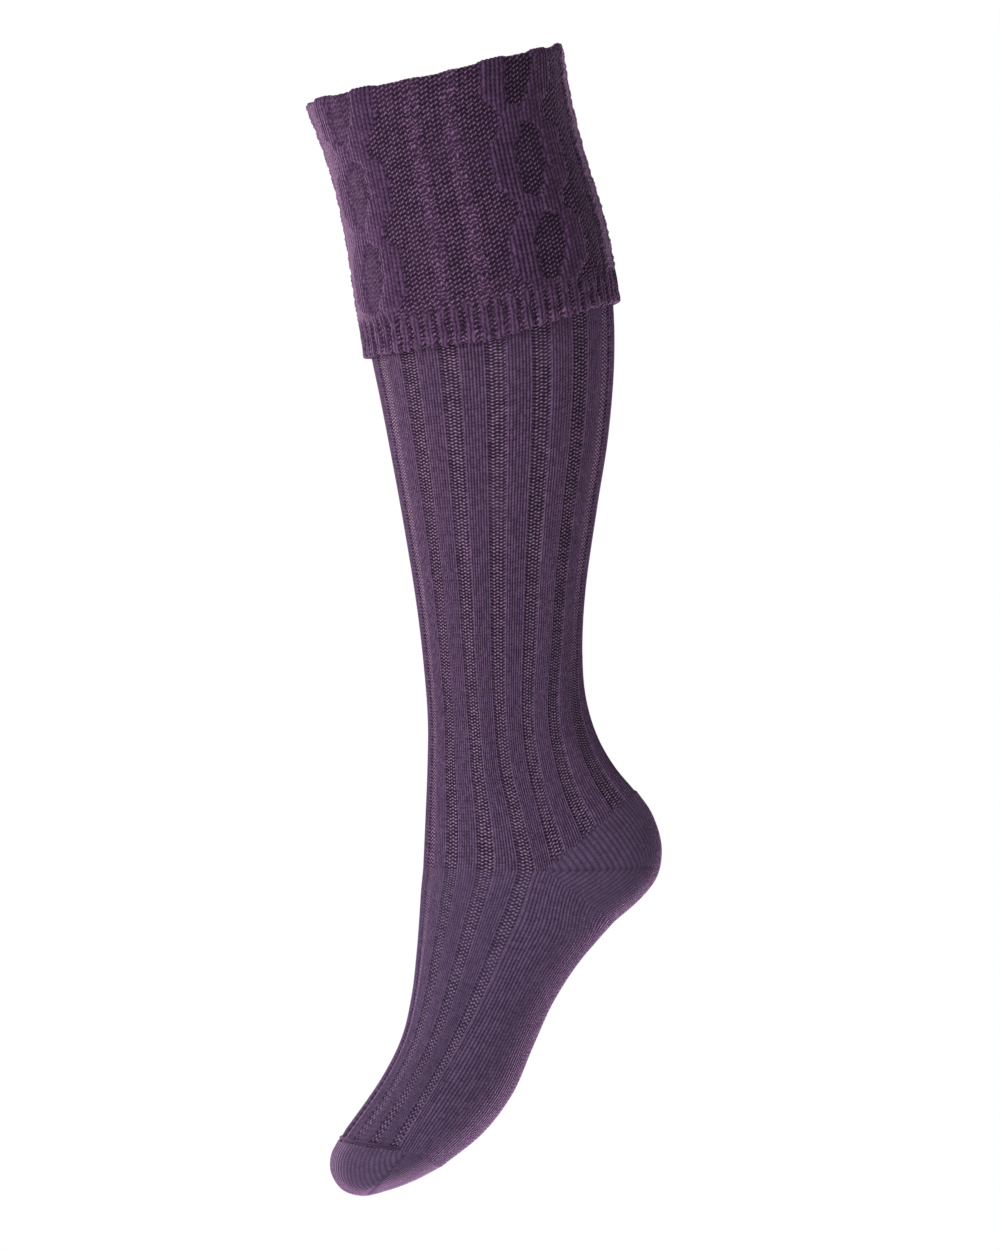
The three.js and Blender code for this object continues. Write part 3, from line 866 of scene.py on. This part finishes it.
def makeWelt():
    cuff, knit = cuffKnit, weltKnit
    top, bottom = cuff["drop"], cuff["drop"] + knit["height"]
    outside = cuff["clearance"] + cuff["wall"]
    shown = np.linspace(top, bottom, knit["rows"] * knit["pointsPerRow"])
    turns = np.radians(np.linspace(0, 180, 9))[1:-1]
    middle, half = (cuff["clearance"] + outside) / 2, cuff["wall"] / 2
    ring = ringOf(
        (shown, outside, 1, 0),
        (bottom + half * np.sin(turns), middle + half * np.cos(turns), 0.5 + 0.5 * np.cos(turns), 0),
        (np.linspace(bottom, top, 4), cuff["clearance"], 0, 0),
    )
    columns = knit["wales"] * knit["pointsPerWale"]

    def shape(column, row):
        distance, rise, much = ring[row, :3].T
        angle = column / columns * 360
        wale = column / knit["pointsPerWale"]
        # no rib is quite straight or like the next
        wander = 0.22 * np.sin(angle * 0.31 + distance * 400) + 0.16 * np.sin(angle * 0.83 - distance * 650)
        groove = 0.5 + 0.5 * np.cos(2 * math.pi * (wale + wander) / knit["ribWales"])
        groove = smoothStep(0.25, 0.95, groove)
        begin = smoothStep(*knit["ribStart"], distance - top + 1.2 * mm * np.sin(angle * 0.9))
        hem = 1 - smoothStep(*knit["hem"], bottom - distance)
        above, marks = cuffStitch((angle - twistAt(distance)) / 360 * cuff["wales"], distance)
        plain = plainStitch(wale + 0.5, cuff["cordHeight"])
        bumps = purlStitch(wale, distance / cuff["rowHeight"], cuff["stitchHeight"])
        uneven = 1 + 0.3 * np.sin(angle * 0.57 + 1.1)
        ribs = plain * (1 - groove) + bumps * groove + knit["ribHeight"] * uneven * (1.2 - 2.2 * groove)
        relief = above * (1 - begin) + ribs * begin + knit["rollHeight"] * hem
        distance = distance + knit["lobe"] * (1 - groove) * hem
        points = skin(leg, shareAt(leg, distance), angle, rise + relief * much)
        purl = marks["purl"] * (1 - begin) + groove * begin
        # painted shade in the rib grooves, and lighter along the hem's roll
        paintedShadeAndTone = marks["paintedShadeAndTone"] * (1 - begin) + (0.4 * groove - 0.05) * begin - 0.35 * hem
        return points, {
            "purl": np.where(much > 0.3, purl, 1),
            "paintedShadeAndTone": paintedShadeAndTone * much,
            "tangle": (0.45 * begin + 0.2 * hem) * much,
        }

    def stitch(column, row, faceColumn, faceRow):
        return column / knit["pointsPerWale"] + 0.5, ring[row, 0] / cuff["rowHeight"]

    return weave("cuffWelt", columns, len(ring) - 1, shape, stitch)


seamKnit = {
    "rings": 420,
    "sides": 12,
    "loops": 46,
    "loopDepth": 0.18,
    "sunk": 0.75,  # of the cord's radius, under the skin
    "knot": 1.5,  # how much thicker the cord is there
    "knotFrom": (0.955, 0.985),  # share of the way to an end
    "step": 0.4,  # degrees to the place that shows the cord's way
}


def makeSeam():
    knit = seamKnit
    stop = foot["stops"][-1] - cordSeat["back"]

    def shape(column, row):
        along = row / knit["rings"]
        angle = (2 * along - 1) * cordSeat["reach"]
        share, sunk = shareAt(foot, stop), -knit["sunk"] * cordSeat["radius"]
        middle = skin(foot, share, angle, sunk)
        out = skin(foot, share, angle, 10 * mm) - middle
        out /= np.linalg.norm(out, axis=1, keepdims=True)
        forward = skin(foot, share, angle + knit["step"], sunk) - middle
        forward /= np.linalg.norm(forward, axis=1, keepdims=True)
        beside = np.cross(forward, out)
        turn = column / knit["sides"] * 2 * math.pi
        loops = 1 + knit["loopDepth"] * np.cos(2 * math.pi * along * knit["loops"] + 2 * turn)
        ends = np.abs(2 * along - 1)
        swell = 1 + (knit["knot"] - 1) * smoothStep(*knit["knotFrom"], ends)
        close = np.sqrt(np.clip(1 - smoothStep(knit["knotFrom"][1], 1, ends) ** 2, 0, 1))
        radius = (cordSeat["radius"] * loops * swell * close)[:, None]
        turn = turn[:, None]
        points = middle + radius * (out * np.cos(turn) + beside * np.sin(turn))
        # painted shade: the cord sunk in its groove is a little darker
        return points, {"paintedShadeAndTone": 0.2}

    def stitch(column, row, faceColumn, faceRow):
        return column / knit["sides"] * 3, row / knit["rings"] * knit["loops"] * 2

    return weave("toeSeam", knit["sides"], knit["rings"], shape, stitch)


view = {
    "scale": 0.52 * mm,  # one picture point at the sock
    "picture": (1000, 1250),
    "origin": (436, 75),  # where the middle of the leg opening lies in the picture
    "distance": 4.5,
    "sensor": 36,
}


def makeCamera():
    wide, high = view["picture"]
    x = (wide / 2 - view["origin"][0]) * view["scale"]
    z = (view["origin"][1] - high / 2) * view["scale"]
    lens = view["sensor"] * view["distance"] / (high * view["scale"])
    bpy.ops.object.camera_add(location=(x, -view["distance"], z), rotation=(math.pi / 2, 0, 0))
    camera = bpy.context.object
    camera.data.sensor_width, camera.data.lens = view["sensor"], lens
    bpy.context.scene.camera = camera


# place, size, power, colour, and the point that each lamp looks at
lamps = {
    "keyLeft": ((-1.5, -1.5, 0.6), 1.0, 53, (1, 0.94, 0.99), (0.03, 0, -0.28)),
    "rimLeft": ((-1.2, 1.2, -0.2), 1.0, 44, (1, 0.88, 0.98), (0.03, 0, -0.28)),
    "rimLow": ((0.6, 1.4, -1.3), 0.8, 72, (1, 0.76, 0.98), (0, 0, -0.45)),
    "fillLow": ((-0.1, -1.8, -1.1), 1.0, 19, (0.96, 0.97, 1), (0, 0, -0.5)),
    "rimRight": ((1.1, 1.5, 0.1), 0.9, 12, (0.8, 0.9, 1), (0.03, 0, -0.28)),
}
studio = {
    "roomLight": 0.37,
    "white": (1, 1, 1, 1),
    "floorSize": 14,
    "floorDown": 1.6,  # well under the lamps, so that it doesn't shade the sock
    "floorPaint": (0.9, 0.9, 0.9, 1),
}


def makeLight(name, place, size, power, colour, aim):
    bpy.ops.object.light_add(type="AREA", location=place)
    lamp = bpy.context.object
    lamp.name = name
    lamp.data.size, lamp.data.energy, lamp.data.color = size, power, colour
    away = np.array(place) - np.array(aim)
    flat = math.hypot(away[0], away[1])
    lamp.rotation_euler = (math.atan2(flat, away[2]), 0, math.atan2(away[1], away[0]) + math.pi / 2)


def makeRoom():
    # an even room lights the sock, and the camera sees plain white behind it
    world = bpy.data.worlds.new("paleRoom")
    bpy.context.scene.world = world
    world.use_nodes = True
    nodes, links = world.node_tree.nodes, world.node_tree.links
    room, paper = nodes["Background"], nodes.new("ShaderNodeBackground")
    room.inputs[0].default_value = paper.inputs[0].default_value = studio["white"]
    room.inputs[1].default_value = studio["roomLight"]
    seen = nodes.new("ShaderNodeLightPath")
    either = nodes.new("ShaderNodeMixShader")
    links.new(seen.outputs["Is Camera Ray"], either.inputs[0])
    links.new(room.outputs[0], either.inputs[1])
    links.new(paper.outputs[0], either.inputs[2])
    links.new(either.outputs[0], nodes["World Output"].inputs[0])
    bpy.context.scene.view_settings.view_transform = "Standard"


def makeFloor():
    bpy.ops.mesh.primitive_plane_add(size=studio["floorSize"], location=(0, 0, -studio["floorDown"]))
    floor = bpy.context.object
    floor.name = "paleFloor"
    paint = Dye("paleFloorPaint")
    surface = paint.node("ShaderNodeBsdfPrincipled", None, {
        "Base Color": studio["floorPaint"], "Roughness": 0.7})
    paint.node("ShaderNodeOutputMaterial", None, {0: surface.outputs[0]})
    floor.data.materials.append(paint.material)


makeCamera()
for lampName, lampValues in lamps.items():
    makeLight(lampName, *lampValues)
makeRoom()
makeFloor()
print("studio ready")

# each knitting's own wool. tone is over the wool's colours, glow the sheen at a grazing angle
cuffWale = 2.2 * mm
wools = {
    "fineWool": dict(wale=1.85 * mm, relief=0.5 * mm, tone=(0.93, 0.92, 0.95), contrast=1.18, purlLight=0.68),
    "footWool": dict(
        wale=1.9 * mm, relief=0.34 * mm, tone=(0.94, 1.0, 1.01), contrast=0.85, purlLight=0.62, glow=0.75),
    "soleWool": dict(wale=2.5 * mm, relief=0.24 * mm, tone=(0.91, 1.0, 0.98), contrast=0.5, glow=0.75),
    "chunkyWool": dict(
        wale=cuffWale, relief=0.65 * mm, tone=(0.68, 0.56, 0.71), slant=0.9, contrast=1.2, purlLight=0.62),
    "weltWool": dict(
        wale=cuffWale, relief=0.65 * mm, tone=(0.77, 0.66, 0.78), slant=0.9, contrast=1.1, purlLight=0.7),
    "seamWool": dict(wale=1.4 * mm, relief=0.3 * mm, tone=(0.8, 0.8, 0.85)),
}
dyed = {name: knitWool(name, **values) for name, values in wools.items()}
print("wool dyed")

finishPiece(makeLeg(), dyed["fineWool"], "leg_knit", "ribbed_leg")
finishPiece(makeFoot(), dyed["footWool"], "foot_knit", "foot")
finishPiece(makePocket("heelPocket", heel, heelKnit), dyed["soleWool"], "heel_knit", "heel_pocket")
finishPiece(makePocket("toePocket", toe, toeKnit), dyed["soleWool"], "toe_knit", "toe_pocket")
finishPiece(makeCuff(), dyed["chunkyWool"], "cuff_knit", "turnover_cuff")
finishPiece(makeWelt(), dyed["weltWool"], "welt_knit", "cuff_welt")
finishPiece(makeSeam(), dyed["seamWool"], "seam_yarn", "toe_seam")
print("pieces ride on the sock")
